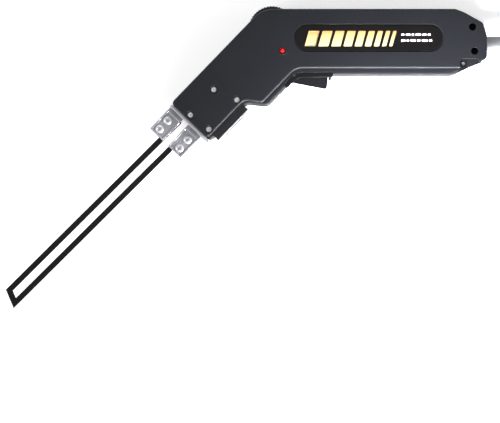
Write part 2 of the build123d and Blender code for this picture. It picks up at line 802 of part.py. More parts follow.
screw_spots = [(row, line) for line in clamp_screw_lines for row in clamp_screw_rows]
for number, (row, line) in enumerate(screw_spots, start=1):
    with BuildPart() as clamp_screw:
        add(clamp_screw_solid(row, line))
    clamp_screw.part.label = f"clamp_screw_{number}"
    export_step(clamp_screw.part, f"parts/clamp_screw_{number}.step")

# ---------------------------------------------------------------- blade
blade_root = nose_point(clamp_start + 0.5, blade_line)
blade_turn = math.radians(180 + nose_angle - blade_tilt)
blade_dir = (math.cos(blade_turn), math.sin(blade_turn))
blade_plane = Plane(
    origin=(*blade_root, middle - blade_thickness / 2),
    x_dir=(*blade_dir, 0),
    z_dir=(0, 0, 1),
)
blade_half = blade_width / 2
slant = math.tan(math.radians(tip_slant))
short_side = blade_length - slant * blade_width
end_band = 4.9 / math.cos(math.radians(tip_slant))
slot_half = blade_half - leg_width
slot_short = short_side + slant * leg_width - end_band
slot_long = slot_short + slant * 2 * slot_half
with BuildPart() as blade:
    with BuildSketch(blade_plane):
        with BuildLine():
            Polyline(
                (0, -blade_half),
                (short_side, -blade_half),
                (blade_length, blade_half),
                (0, blade_half),
                (0, slot_half),
                (slot_long, slot_half),
                (slot_short, -slot_half),
                (0, -slot_half),
                close=True,
            )
        make_face()
    extrude(amount=blade_thickness)

# ---------------------------------------------------------------- accessory shoe under the nose
shoe_length = shoe_end - shoe_start
shoe_middle = (shoe_start + shoe_end) / 2
shoe_width = full_thickness - 2 * shoe_inset
plate_face = shoe_face + 0.8
with BuildPart() as shoe_block:
    with BuildSketch(nose_plane(shoe_inset)):
        with Locations((shoe_middle, (shoe_seat + shoe_face) / 2)):
            Rectangle(shoe_length, shoe_face - shoe_seat)
    extrude(amount=shoe_width)
    with BuildSketch(shoe_plane(shoe_face)):
        with Locations(*[(place, 0) for place in shoe_screw_places]):
            Circle(1.45)
    extrude(amount=shoe_seat - shoe_face, mode=Mode.SUBTRACT)

with BuildPart() as shoe_plate:
    with BuildSketch(shoe_plane(shoe_face)):
        with Locations((shoe_middle, 0)):
            RectangleRounded(shoe_length + 1.2, shoe_width - 4, 1.5)
    extrude(amount=0.8)
    with BuildSketch(shoe_plane(plate_face)):
        with Locations((shoe_middle, 0)):
            RectangleRounded(20, shoe_width - 14, 1)
    extrude(amount=1.5)
    with BuildSketch(shoe_plane(shoe_face)):
        with Locations(*[(place, 0) for place in shoe_screw_places]):
            Circle(1.45)
    extrude(amount=0.8, mode=Mode.SUBTRACT)

with BuildPart() as shoe_screws:
    with BuildSketch(shoe_plane(plate_face)):
        with Locations(*[(place, 0) for place in shoe_screw_places]):
            Circle(2.6)
    extrude(amount=1.2)
    with BuildSketch(shoe_plane(plate_face)):
        with Locations(*[(place, 0) for place in shoe_screw_places]):
            Circle(1.4)
    extrude(amount=-10.5)

# ---------------------------------------------------------------- mains lead: strain relief and leads
sleeve_end = handle_end + sleeve_length
with BuildPart() as strain_relief:
    with BuildSketch(Plane.XY.offset(middle)):
        with BuildLine():
            Polyline(
                (flange_start - flange_depth, outlet_y),
                (flange_start - flange_depth, outlet_y + flange_radius),
                (flange_start, outlet_y + flange_radius),
                (flange_start, outlet_y + sleeve_radius),
                (handle_end + 16, outlet_y + sleeve_radius),
                (sleeve_end, outlet_y + sleeve_end_radius),
                (sleeve_end, outlet_y),
                close=True,
            )
        make_face()
    revolve(axis=Axis((0, outlet_y, middle), (1, 0, 0)))

lead_radius = 1.2
lead_start = flange_start - flange_depth - fit
lead_paths = [
    [
        (lead_start, 1.4, 24),
        (148, 0.8, 24),
        (128, -20.2, 23),
        (62, -20.2, 23),
        (switch_x + switch_size[0] / 2 + 0.7, switch_low + 4, 22),
    ],
    [
        (lead_start, -1.6, 20),
        (148, -1.4, 20),
        (128, core_middle, bobbin_high - 4),
        (transformer_x + flange_size[0] / 2 - 0.6, core_middle, bobbin_high - 5),
    ],
]
with BuildPart() as inner_leads:
    for lead_path in lead_paths:
        with BuildLine() as lead_line:
            FilletPolyline(*lead_path, radius=5)
        with BuildSketch(Plane(origin=lead_line.line @ 0, z_dir=lead_line.line % 0)):
            Circle(lead_radius)
        sweep(path=lead_line.line)

# ---------------------------------------------------------------- mains lead: cord, coil and plug
# The coil has two layers: the cord spirals inwards on the surface for 3.5 turns, climbs one diameter,
# and spirals out again on top for 3.25 turns.
coil_middle = (242.0, -64.0)
first_lane = 51.0          # radius where the cord enters the lower layer
last_lane = 49.3           # and where it leaves the upper one
inner_lane = first_lane - 3.5 * 2 * cord_radius
cord_lift = 3.5            # middle of a cord that lies on the surface
last_layer = cord_lift + 2 * cord_radius
coil_height = last_layer + cord_radius
coil_radius = (first_lane + inner_lane) / 2
coil_band = first_lane - inner_lane + 2 * cord_radius
cord_points = [
    (sleeve_end, outlet_y, middle),
    (sleeve_end + 23, outlet_y, middle),
    (268, -6.5, 15.5),
    (285.5, -22.5, 7),
    (coil_middle[0] + first_lane, -45, cord_lift),
    (coil_middle[0] + first_lane, coil_middle[1], cord_lift),
]
tail_points = [
    (coil_middle[0] + last_lane, coil_middle[1], last_layer),
    (291.9, -84, 9.8),
    (289.5, -106, 8.0),
    (283.5, -126, 7.0),
    (275.5, -145, 7.0),
]


def corner_radii(points):
    """The largest arc that the two runs at each corner have room for."""
    radii = []
    for before, at, after in zip(points, points[1:], points[2:]):
        run_in = Vector(at) - Vector(before)
        run_out = Vector(after) - Vector(at)
        turn = math.radians(run_in.get_angle(run_out))
        radii.append(0.45 * min(run_in.length, run_out.length) / math.tan(turn / 2))
    return radii


def cord_tube(points):
    """A round cord along straight runs joined by tangent arcs."""
    radii = corner_radii(points)
    with BuildPart() as tube:
        with BuildLine() as route:
            FilletPolyline(*points, radius=radii)
        with BuildSketch(Plane(origin=route.line @ 0, z_dir=route.line % 0)) as section:
            Circle(cord_radius)
        sweep(section.sketch, path=route.line)
    length = sum(edge.length for edge in route.line.edges())
    print("cord radii", [round(radius, 1) for radius in radii], "length", round(length, 1))
    print("volume over section times length", tube.part.volume / (length * math.pi * cord_radius**2))
    return tube.part


with BuildPart() as cord:
    add(cord_tube(cord_points))

with BuildPart() as cord_tail:
    add(cord_tube(tail_points))

with BuildPart() as cord_coil:
    with BuildSketch(Plane.XZ.offset(-coil_middle[1])):
        with Locations((coil_middle[0] + coil_radius, coil_height / 2)):
            RectangleRounded(coil_band, coil_height, 3)
    revolve(axis=Axis((*coil_middle, 0), (0, 0, 1)))

plug_start = Vector(*tail_points[-1])
plug_run = plug_start - Vector(*tail_points[-2])
plug_plane = Plane(
    origin=plug_start,
    z_dir=Vector(plug_run.X, plug_run.Y, 0),
    x_dir=Vector(-plug_run.Y, plug_run.X, 0),
)
plug_axis = Axis(plug_start, plug_plane.z_dir)
plug_width = 35.3
plug_thickness = 13.7
plug_relief = 16.0
plug_length = 37.0
pin_radius = 2.0
pin_length = 19.0
pin_sleeve = 10.0
pin_spacing = 18.6
with BuildPart() as plug_body:
    with BuildSketch(plug_plane):
        Circle(cord_radius + 0.6)
    with BuildSketch(plug_plane.offset(plug_relief)):
        Circle(5.2)
    loft()
    with BuildSketch(plug_plane.offset(plug_relief)):
        RectangleRounded(15, 11, 4)
    with BuildSketch(plug_plane.offset(plug_relief + plug_length * 0.55)):
        RectangleRounded(plug_width, plug_thickness, 5)
    loft()
    with BuildSketch(plug_plane.offset(plug_relief + plug_length * 0.55)):
        RectangleRounded(plug_width, plug_thickness, 5)
    extrude(amount=plug_length * 0.45)
    fillet(plug_body.faces().sort_by(plug_axis)[-1].edges(), radius=1.0)

plug_end = plug_plane.offset(plug_relief + plug_length)
with BuildPart() as plug_pin_sleeves:
    with BuildSketch(plug_end):
        with GridLocations(pin_spacing, 0, 2, 1):
            Circle(pin_radius)
    extrude(amount=pin_sleeve)

with BuildPart() as plug_pins:
    with BuildSketch(plug_end.offset(pin_sleeve)):
        with GridLocations(pin_spacing, 0, 2, 1):
            Circle(pin_radius)
    extrude(amount=pin_length - pin_sleeve)
    pin_tips = plug_pins.edges().filter_by(GeomType.CIRCLE).sort_by(plug_axis)[-2:]
    fillet(pin_tips, radius=1.2)

# ---------------------------------------------------------------- files
finished = {
    "housing_upper": housing_upper,
    "housing_lower": housing_lower,
    "housing_screws": housing_screws,
    "name_plate": name_plate,
    "pilot_lamp": pilot_lamp,
    "dial_wheel": dial_wheel,
    "dial_shaft": dial_shaft,
    "potentiometer": potentiometer,
    "circuit_board": circuit_board,
    "board_components": board_components,
    "trigger_bezel": trigger_bezel,
    "trigger_pin": trigger_pin,
    "trigger": trigger,
    "trigger_spring": trigger_spring,
    "switch_body": switch_body,
    "switch_plunger": switch_plunger,
    "transformer_core": transformer_core,
    "primary_bobbin": primary_bobbin,
    "primary_winding": primary_winding,
    "secondary_bar": secondary_bar,
    "nose_plate": nose_plate,
    "clamp_bases": clamp_bases,
    "clamp_plate_1": clamp_plate_1,
    "clamp_plate_2": clamp_plate_2,
    "blade": blade,
    "shoe_block": shoe_block,
    "shoe_plate": shoe_plate,
    "shoe_screws": shoe_screws,
    "strain_relief": strain_relief,
    "inner_leads": inner_leads,
    "cord": cord,
    "cord_coil": cord_coil,
    "cord_tail": cord_tail,
    "plug_body": plug_body,
    "plug_pin_sleeves": plug_pin_sleeves,
    "plug_pins": plug_pins,
}
for node_name, builder in finished.items():
    builder.part.label = node_name
    export_step(builder.part, f"parts/{node_name}.step")
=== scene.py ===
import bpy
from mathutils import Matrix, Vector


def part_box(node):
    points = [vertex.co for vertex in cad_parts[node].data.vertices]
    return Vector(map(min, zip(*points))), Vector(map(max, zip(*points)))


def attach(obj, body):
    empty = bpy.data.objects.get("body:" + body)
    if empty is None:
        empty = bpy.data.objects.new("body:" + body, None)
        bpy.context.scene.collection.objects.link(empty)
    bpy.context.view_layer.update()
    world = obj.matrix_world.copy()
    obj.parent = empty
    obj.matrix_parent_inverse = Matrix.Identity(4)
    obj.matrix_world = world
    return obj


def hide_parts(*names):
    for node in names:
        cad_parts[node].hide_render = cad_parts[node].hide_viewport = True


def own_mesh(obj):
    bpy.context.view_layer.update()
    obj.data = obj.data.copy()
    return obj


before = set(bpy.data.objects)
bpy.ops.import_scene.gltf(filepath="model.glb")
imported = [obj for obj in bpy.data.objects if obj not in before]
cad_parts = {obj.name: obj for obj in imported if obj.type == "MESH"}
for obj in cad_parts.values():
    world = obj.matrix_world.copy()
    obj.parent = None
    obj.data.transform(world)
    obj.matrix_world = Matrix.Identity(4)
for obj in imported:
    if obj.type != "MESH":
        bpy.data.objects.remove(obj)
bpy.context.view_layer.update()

import math

import bpy
from mathutils import Matrix, Vector

# ---------------------------------------------------------------- camera
# Looks straight down on the tool as it lies on its side, the handle to the right.
# A long lens from far above keeps the side of the housing as flat as in a catalogue picture.
camera_height = 12.0
view_width = 0.400
view_level = 0.030
sensor = 36.0
lens_data = bpy.data.cameras.new("camera")
lens_data.sensor_width = sensor
lens_data.lens = sensor * (camera_height - view_level) / view_width
lens_data.clip_end = 100.0
camera = bpy.data.objects.new("camera", lens_data)
camera.location = (-0.0144, -0.135, camera_height)
bpy.context.collection.objects.link(camera)
bpy.context.scene.camera = camera

# ---------------------------------------------------------------- floor
# A plain pale table that runs far past the tool, painted matt white.
# Its plane lies a hair under the rest face, so the two never flicker.
bpy.ops.object.select_all(action="DESELECT")
bpy.ops.mesh.primitive_plane_add(size=8.0, location=(0, 0, -0.0002))
floor = bpy.context.object
floor.name = "floor"
floor_paint = bpy.data.materials.new("floor_paint")
floor_paint.use_nodes = True
paint_shader = floor_paint.node_tree.nodes["Principled BSDF"]
paint_shader.inputs["Base Color"].default_value = (0.94, 0.94, 0.95, 1)
paint_shader.inputs["Roughness"].default_value = 0.85
paint_shader.inputs["Specular IOR Level"].default_value = 0.15
paint_shader.inputs["Emission Color"].default_value = (1.0, 1.0, 1.0, 1)
paint_shader.inputs["Emission Strength"].default_value = 0.35
floor.data.materials.append(floor_paint)

# ---------------------------------------------------------------- studio light
# A small box close to the grip shades its flat side, three big ones fill from the front, the left and
# the back, and a strip in front draws the edge of the grip. The ceiling stays dim between them.
def soft_box(name, place, aim, width, height, power):
    lamp = bpy.data.lights.new(name, "AREA")
    lamp.shape = "RECTANGLE"
    lamp.size = width
    lamp.size_y = height
    lamp.energy = power
    box = bpy.data.objects.new(name, lamp)
    bpy.context.collection.objects.link(box)
    box.location = place
    box.rotation_euler = (Vector(aim) - Vector(place)).to_track_quat("-Z", "Y").to_euler()
    box.visible_camera = False
    return box


near_box = soft_box("near_box", (0.128, -0.110, 0.118), (0.118, -0.01, 0.04), 0.17, 0.05, 1.75)
near_box.visible_glossy = False
edge_box = soft_box("edge_box", (0.10, -0.25, 0.055), (0.10, -0.02, 0.035), 0.20, 0.03, 2.2)
edge_box.visible_diffuse = False
soft_box("key_box", (0.25, -0.95, 0.75), (0.00, -0.05, 0.02), 1.2, 0.6, 5.0)
soft_box("left_box", (-1.10, -0.25, 0.60), (-0.05, -0.05, 0.02), 0.7, 0.7, 5.0)
soft_box("back_box", (0.00, 1.30, 0.70), (0.05, 0.00, 0.02), 1.6, 0.5, 8.0)

# A small box overhead shows only in polished metal, so that screw heads and clamps shine.
top_box = soft_box("top_box", (-0.06, -0.08, 1.00), (-0.06, -0.08, 0.0), 0.50, 0.50, 0.50)
top_box.visible_diffuse = False

room = bpy.data.worlds.new("room")
bpy.context.scene.world = room
room.use_nodes = True
room_light = room.node_tree.nodes["Background"]
room_height = room.node_tree.nodes.new("ShaderNodeSeparateXYZ")
room_ramp = room.node_tree.nodes.new("ShaderNodeValToRGB")
room_way = room.node_tree.nodes.new("ShaderNodeTexCoord")
room.node_tree.links.new(room_way.outputs["Generated"], room_height.inputs[0])
room.node_tree.links.new(room_height.outputs["Z"], room_ramp.inputs["Fac"])
room.node_tree.links.new(room_ramp.outputs["Color"], room_light.inputs["Color"])
room_ramp.color_ramp.elements[0].position = 0.50
room_ramp.color_ramp.elements[0].color = (1.0, 1.0, 1.0, 1)
room_ramp.color_ramp.elements[1].position = 0.90
room_ramp.color_ramp.elements[1].color = (0.02, 0.021, 0.024, 1)
room_light.inputs["Strength"].default_value = 1.05
bpy.context.scene.view_settings.view_transform = "Standard"


# ---------------------------------------------------------------- mains cord
# Round black PVC lead, 6.8 mm thick and about 1.9 m long, that leaves the sleeve straight, sinks to the
# table and is wound up there: inwards on the table, one climb, outwards on top, then off to the plug.
def srgb(red, green, blue):
    """A colour given in 0 to 255 steps, as linear values."""
    steps = [value / 255 for value in (red, green, blue)]
    return [s / 12.92 if s < 0.04045 else ((s + 0.055) / 1.055) ** 2.4 for s in steps] + [1.0]


def new_group(name, inputs, outputs):
    """An empty shader node group with these sockets, and its two end nodes."""
    group = bpy.data.node_groups.new(name, "ShaderNodeTree")
    for label, kind, value in inputs:
        socket = group.interface.new_socket(label, in_out="INPUT", socket_type=kind)
        socket.default_value = value
    for label, kind in outputs:
        group.interface.new_socket(label, in_out="OUTPUT", socket_type=kind)
    return group, group.nodes.new("NodeGroupInput"), group.nodes.new("NodeGroupOutput")


def math_node(tree, operation, first, second, clamp=False):
    """A Math node; each of the two values is a number or a socket."""
    node = tree.nodes.new("ShaderNodeMath")
    node.operation = operation
    node.use_clamp = clamp
    for slot, value in enumerate((first, second)):
        if isinstance(value, (int, float)):
            node.inputs[slot].default_value = value
        else:
            tree.links.new(value, node.inputs[slot])
    return node.outputs[0]


def mix_colors(tree, factor, first, second, blend="MIX"):
    """A colour Mix node; factor and colours are values or sockets."""
    node = tree.nodes.new("ShaderNodeMix")
    node.data_type = "RGBA"
    node.blend_type = blend
    for slot, value in ((0, factor), (6, first), (7, second)):
        if isinstance(value, bpy.types.NodeSocket):
            tree.links.new(value, node.inputs[slot])
        else:
            node.inputs[slot].default_value = value
    return node.outputs[2]


def noise(tree, vector, scale, detail, rough=0.55):
    node = tree.nodes.new("ShaderNodeTexNoise")
    node.inputs["Detail"].default_value = detail
    node.inputs["Roughness"].default_value = rough
    tree.links.new(vector, node.inputs["Vector"])
    if isinstance(scale, bpy.types.NodeSocket):
        tree.links.new(scale, node.inputs["Scale"])
    else:
        node.inputs["Scale"].default_value = scale
    return node.outputs["Fac"]


# Moulded grain: the fine spark-eroded texture of a plastic tool, slow drifts of shade, and a few
# paler scuffs. Puts out the colour, the roughness and the height of the grain.
grain, grain_in, grain_out = new_group(
    "moulded_grain",
    [("Color", "NodeSocketColor", (0.1, 0.1, 0.1, 1)), ("Roughness", "NodeSocketFloat", 0.5),
     ("Grain", "NodeSocketFloat", 2600.0), ("Drift", "NodeSocketFloat", 0.2)],
    [("Color", "NodeSocketColor"), ("Roughness", "NodeSocketFloat"), ("Height", "NodeSocketFloat")],
)
grain_place = grain.nodes.new("ShaderNodeTexCoord").outputs["Object"]
fine = noise(grain, grain_place, grain_in.outputs["Grain"], 3.0)
slow = noise(grain, grain_place, 28.0, 4.0)
scuff = noise(grain, grain_place, 190.0, 6.0, 0.7)
pale = mix_colors(grain, 1.0, grain_in.outputs["Color"], (1.9, 1.9, 1.9, 1), "MULTIPLY")
drifting = math_node(grain, "MULTIPLY", slow, grain_in.outputs["Drift"])
drift_mask = math_node(grain, "ADD", drifting, math_node(grain, "MULTIPLY", fine, 0.10), True)
grain.links.new(mix_colors(grain, drift_mask, grain_in.outputs["Color"], pale), grain_out.inputs["Color"])
rough_drift = math_node(grain, "MULTIPLY", math_node(grain, "SUBTRACT", slow, 0.5), 0.16)
rough_fine = math_node(grain, "MULTIPLY", math_node(grain, "SUBTRACT", scuff, 0.5), 0.18)
rough_sum = math_node(grain, "ADD", grain_in.outputs["Roughness"], rough_drift)
grain.links.new(math_node(grain, "ADD", rough_sum, rough_fine, True), grain_out.inputs["Roughness"])
grain.links.new(fine, grain_out.inputs["Height"])

# Rounded edges: the small radius that every real edge has, as a normal, and a mask of those edges.
edges, edges_in, edges_out = new_group(
    "rounded_edges",
    [("Radius", "NodeSocketFloat", 0.0003)],
    [("Normal", "NodeSocketVector"), ("Edge", "NodeSocketFloat")],
)
bevel = edges.nodes.new("ShaderNodeBevel")
bevel.samples = 6
edges.links.new(edges_in.outputs["Radius"], bevel.inputs["Radius"])
face_way = edges.nodes.new("ShaderNodeNewGeometry")
agreement = edges.nodes.new("ShaderNodeVectorMath")
agreement.operation = "DOT_PRODUCT"
edges.links.new(bevel.outputs["Normal"], agreement.inputs[0])
edges.links.new(face_way.outputs["Normal"], agreement.inputs[1])
edge_amount = math_node(edges, "SUBTRACT", 1.0, agreement.outputs["Value"])
edges.links.new(bevel.outputs["Normal"], edges_out.inputs["Normal"])
edges.links.new(math_node(edges, "MULTIPLY", edge_amount, 5.0, True), edges_out.inputs["Edge"])


def moulded(name, color, roughness, grain_size=2600.0, depth=0.00003, drift=0.25, radius=0.0003,
            wear_and_highlight=0.25):
    """A moulded plastic or rubber: grained, with soft edges painted lighter, partly as wear from handling
    and partly as a painted highlight.
    """
    material = bpy.data.materials.new(name)
    material.use_nodes = True
    tree = material.node_tree
    shader = tree.nodes["Principled BSDF"]
    body = tree.nodes.new("ShaderNodeGroup")
    body.node_tree = grain
    body.inputs["Color"].default_value = color
    body.inputs["Roughness"].default_value = roughness
    body.inputs["Grain"].default_value = grain_size
    body.inputs["Drift"].default_value = drift
    rim = tree.nodes.new("ShaderNodeGroup")
    rim.node_tree = edges
    rim.inputs["Radius"].default_value = radius
    # The edges are painted lighter: partly wear, partly a painted highlight.
    worn_and_highlit_color = mix_colors(tree, 1.0, body.outputs["Color"], (2.4, 2.4, 2.5, 1), "MULTIPLY")
    edge_wear_and_highlight = math_node(tree, "MULTIPLY", rim.outputs["Edge"], wear_and_highlight)
    tree.links.new(mix_colors(tree, edge_wear_and_highlight, body.outputs["Color"], worn_and_highlit_color), shader.inputs["Base Color"])
    tree.links.new(body.outputs["Roughness"], shader.inputs["Roughness"])
    bump = tree.nodes.new("ShaderNodeBump")
    bump.inputs["Strength"].default_value = 0.5
    bump.inputs["Distance"].default_value = depth
    tree.links.new(body.outputs["Height"], bump.inputs["Height"])
    tree.links.new(rim.outputs["Normal"], bump.inputs["Normal"])
    tree.links.new(bump.outputs["Normal"], shader.inputs["Normal"])
    return material


cord_radius = 3.4
cord_route = [
    (220, -0.6, 22),
    (243, -0.6, 22),
    (268, -6.5, 15.5),
    (285.5, -22.5, 7),
    (293, -45, 3.5),
    (293, -64, 3.5),
]
coil_middle = (242.0, -64.0)
first_lane = 51.0
inner_lane = 27.2
turns_in = 3.5
turns_climbing = 0.25
turns = 7
points_per_turn = 16
swell = 1 / math.cos(math.pi / points_per_turn)
for step in range(1, turns * points_per_turn):
    turned = step / points_per_turn
    climbed = min(max((turned - turns_in) / turns_climbing, 0), 1)
    lane = first_lane - 2 * cord_radius * turned
    if turned > turns_in:
        lane = inner_lane + 2 * cord_radius * max(turned - turns_in - turns_climbing, 0)
    angle = -2 * math.pi * turned
    cord_route.append((
        coil_middle[0] + lane * swell * math.cos(angle),
        coil_middle[1] + lane * swell * math.sin(angle),
        3.5 + 2 * cord_radius * climbed,
    ))
cord_route += [
    (291.3, -64, 10.3),
    (291.9, -84, 9.8),
    (289.5, -106, 8.0),
    (283.5, -126, 7.0),
    (275.5, -145, 7.0),
]
cord_curve = bpy.data.curves.new("mains_cord", "CURVE")
cord_curve.dimensions = "3D"
cord_spline = cord_curve.splines.new("NURBS")
cord_spline.points.add(len(cord_route) - 1)
for point, place in zip(cord_spline.points, cord_route):
    point.co = (place[0] / 1000, place[1] / 1000, place[2] / 1000, 1)
cord_spline.order_u = 3
cord_spline.use_endpoint_u = True
cord_spline.resolution_u = 8
cord_curve.bevel_depth = cord_radius / 1000
cord_curve.bevel_resolution = 5
cord_curve.use_fill_caps = True
mains_cord = bpy.data.objects.new("mains_cord", cord_curve)
bpy.context.collection.objects.link(mains_cord)
cord_skin = moulded("cord_skin", srgb(34, 34, 36), 0.42, 900.0, 0.00002, 0.3, 0.0002, 0.0)
cord_curve.materials.append(cord_skin)
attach(mains_cord, "housing")
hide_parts("cord", "cord_coil", "cord_tail")


def dress(node, material):
    """Gives a CAD node this material all over."""
    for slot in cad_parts[node].material_slots:
        slot.material = material


# ---------------------------------------------------------------- strain relief and plug
# A tapered rubber sleeve grips the cord where it leaves the housing. The two-pin plug is moulded on
# in one piece from softer PVC; its pins are nickelled brass with black half sleeves.
dress("strain_relief", moulded("sleeve_rubber", srgb(86, 88, 92), 0.34, 1500.0, 0.00002, 0.2, 0.0004, 0.2))
plug_pvc = moulded("plug_pvc", srgb(30, 30, 32), 0.40, 1800.0, 0.00003, 0.3, 0.0005, 0.3)
dress("plug_body", plug_pvc)
dress("plug_pin_sleeves", moulded("pin_sleeve", srgb(24, 24, 26), 0.5, 2600.0, 0.00002, 0.2, 0.0002, 0.1))

# Brushed metal: fine streaks along one way, with the colour and roughness drifting from place to place.
brush, brush_in, brush_out = new_group(
    "brushed_metal",
    [("Color", "NodeSocketColor", (0.6, 0.6, 0.6, 1)), ("Roughness", "NodeSocketFloat", 0.3),
     ("Turn", "NodeSocketVector", (0, 0, 0)), ("Streak", "NodeSocketVector", (60, 1800, 600)),
     ("Stain", "NodeSocketFloat", 0.3)],
    [("Color", "NodeSocketColor"), ("Roughness", "NodeSocketFloat"), ("Height", "NodeSocketFloat")],
)
brush_place = brush.nodes.new("ShaderNodeTexCoord").outputs["Object"]
brush_turn = brush.nodes.new("ShaderNodeMapping")
brush.links.new(brush_place, brush_turn.inputs["Vector"])
brush.links.new(brush_in.outputs["Turn"], brush_turn.inputs["Rotation"])
brush_stretch = brush.nodes.new("ShaderNodeVectorMath")
brush_stretch.operation = "MULTIPLY"
brush.links.new(brush_turn.outputs["Vector"], brush_stretch.inputs[0])
brush.links.new(brush_in.outputs["Streak"], brush_stretch.inputs[1])
streaks = noise(brush, brush_stretch.outputs[0], 1.0, 4.0, 0.65)
stains = noise(brush, brush_place, 120.0, 5.0, 0.6)
dull = mix_colors(brush, 1.0, brush_in.outputs["Color"], (0.55, 0.55, 0.57, 1), "MULTIPLY")
stain_mask = math_node(brush, "MULTIPLY", stains, brush_in.outputs["Stain"])
streak_mask = math_node(brush, "MULTIPLY", streaks, 0.35)
brush_mask = math_node(brush, "ADD", stain_mask, streak_mask, True)
brush.links.new(mix_colors(brush, brush_mask, brush_in.outputs["Color"], dull), brush_out.inputs["Color"])
brush_rough = math_node(brush, "MULTIPLY", math_node(brush, "SUBTRACT", streaks, 0.5), 0.30)
brush_sum = math_node(brush, "ADD", brush_in.outputs["Roughness"], brush_rough, True)
brush.links.new(brush_sum, brush_out.inputs["Roughness"])
brush.links.new(streaks, brush_out.inputs["Height"])


def metal(name, color, roughness, turn=0.0, streak=(60, 1800, 600), stain=0.3, radius=0.0002, edge_highlight=0.5,
          metallic=1.0):
    """A machined, plated or blackened metal with brushed streaks and edges painted brighter as a highlight.
    """
    material = bpy.data.materials.new(name)
    material.use_nodes = True
    tree = material.node_tree
    shader = tree.nodes["Principled BSDF"]
    shader.inputs["Metallic"].default_value = metallic
    body = tree.nodes.new("ShaderNodeGroup")
    body.node_tree = brush
    body.inputs["Color"].default_value = color
    body.inputs["Roughness"].default_value = roughness
    body.inputs["Turn"].default_value = (0, 0, turn)
    body.inputs["Streak"].default_value = streak
    body.inputs["Stain"].default_value = stain
    rim = tree.nodes.new("ShaderNodeGroup")
    rim.node_tree = edges
    rim.inputs["Radius"].default_value = radius
    # The edges are painted brighter: a painted highlight.
    edge_wear_and_highlight = math_node(tree, "MULTIPLY", rim.outputs["Edge"], edge_highlight)
    edge_highlit_color = mix_colors(tree, edge_wear_and_highlight, body.outputs["Color"], (0.9, 0.9, 0.9, 1))
    tree.links.new(edge_highlit_color, shader.inputs["Base Color"])
    tree.links.new(body.outputs["Roughness"], shader.inputs["Roughness"])
    bump = tree.nodes.new("ShaderNodeBump")
    bump.inputs["Strength"].default_value = 0.35
    bump.inputs["Distance"].default_value = 0.00002
    tree.links.new(body.outputs["Height"], bump.inputs["Height"])
    tree.links.new(rim.outputs["Normal"], bump.inputs["Normal"])
    tree.links.new(bump.outputs["Normal"], shader.inputs["Normal"])
    return material


dress("plug_pins", metal("pin_nickel", srgb(205, 200, 186), 0.25, 1.97, stain=0.2))

# ---------------------------------------------------------------- housing
# Two half shells of glass-filled nylon, anthracite, with the matt texture of an eroded mould.
# They meet at mid height and are held by seven screws.
shell_plastic = moulded("shell_plastic", srgb(18, 19, 23), 0.50, 2300.0, 0.00004, 0.22, 0.0005, 0.30)
shell_plastic.node_tree.nodes["Principled BSDF"].inputs["Specular IOR Level"].default_value = 0.3
dress("housing_upper", shell_plastic)
dress("housing_lower", shell_plastic)

# Pan head screws, zinc plated, sunk in their recesses.
screw_steel = metal("screw_steel", srgb(252, 252, 253), 0.40, 0.6, (500, 500, 500), 0.1, 0.0002, 0.6, 0.85)
dress("housing_screws", screw_steel)


def recess_shade_ring(x, y, z, middle_radius, thickness):
    """A flattened black ring in the mouth of a round recess: painted shade that stands for the dark inside
    of the recess.
    """
    bpy.ops.object.select_all(action="DESELECT")
    bpy.ops.mesh.primitive_torus_add(
        location=(x / 1000, y / 1000, z / 1000),
        major_radius=middle_radius / 1000,
        minor_radius=thickness / 2000,
        major_segments=40,
        minor_segments=12,
    )
    ring = bpy.context.object
    ring.data.transform(Matrix.Diagonal((1.0, 1.0, 0.45, 1.0)))
    bpy.ops.object.transform_apply(location=True)
    bpy.ops.object.shade_smooth()
    return ring


def join_pieces(parts, name, material):
    """Joins pieces into one that rides on the housing."""
    bpy.ops.object.select_all(action="DESELECT")
    for part in parts:
        part.select_set(True)
    bpy.context.view_layer.objects.active = parts[0]
    bpy.ops.object.join()
    parts[0].name = name
    parts[0].data.materials.clear()
    parts[0].data.materials.append(material)
    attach(parts[0], "housing")
    return parts[0]


# Black rings in the recesses of the nose and the corner, and black discs deep in the two rear ones, are
# painted shade: they stand for the dark inside of these recesses.
face_height = 44.0
ring_drop = 0.4
corner_recess = (156.2, -17.0, 35.6)
rear_recesses = [(163.5, 12.6), (165.1, -6.7)]
rear_shade_height = 35.0
nose_recesses = [(-62.0, -57.87), (-47.23, -69.35), (-43.33, -37.67), (-24.8, -45.84)]
recess_shade_black = moulded("recess_shade_black", srgb(4, 4, 5), 0.6, 2400.0, 0.00001, 0.2, 0.0001, 0.0)
shade_rings = [recess_shade_ring(x, y, face_height - ring_drop, 3.2, 1.0) for x, y in nose_recesses]
shade_rings.append(recess_shade_ring(*corner_recess, 2.2, 1.5))
shade_rings += [recess_shade_ring(x, y, rear_shade_height, 1.3, 2.7) for x, y in rear_recesses]
join_pieces(shade_rings, "screw_shade_rings", recess_shade_black)

# ---------------------------------------------------------------- name plate
# A black printed film in the pill-shaped recess. The print is a plain ornament: a row of slanted
# gold bars that narrow towards the rear, and two rows of short white dashes.
label_film = moulded("label_film", srgb(6, 5, 5), 0.46, 1500.0, 0.00001, 0.15, 0.0002, 0.1)
label_film.node_tree.nodes["Principled BSDF"].inputs["Specular IOR Level"].default_value = 0.3
dress("name_plate", label_film)
plate_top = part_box("name_plate")[1][2]


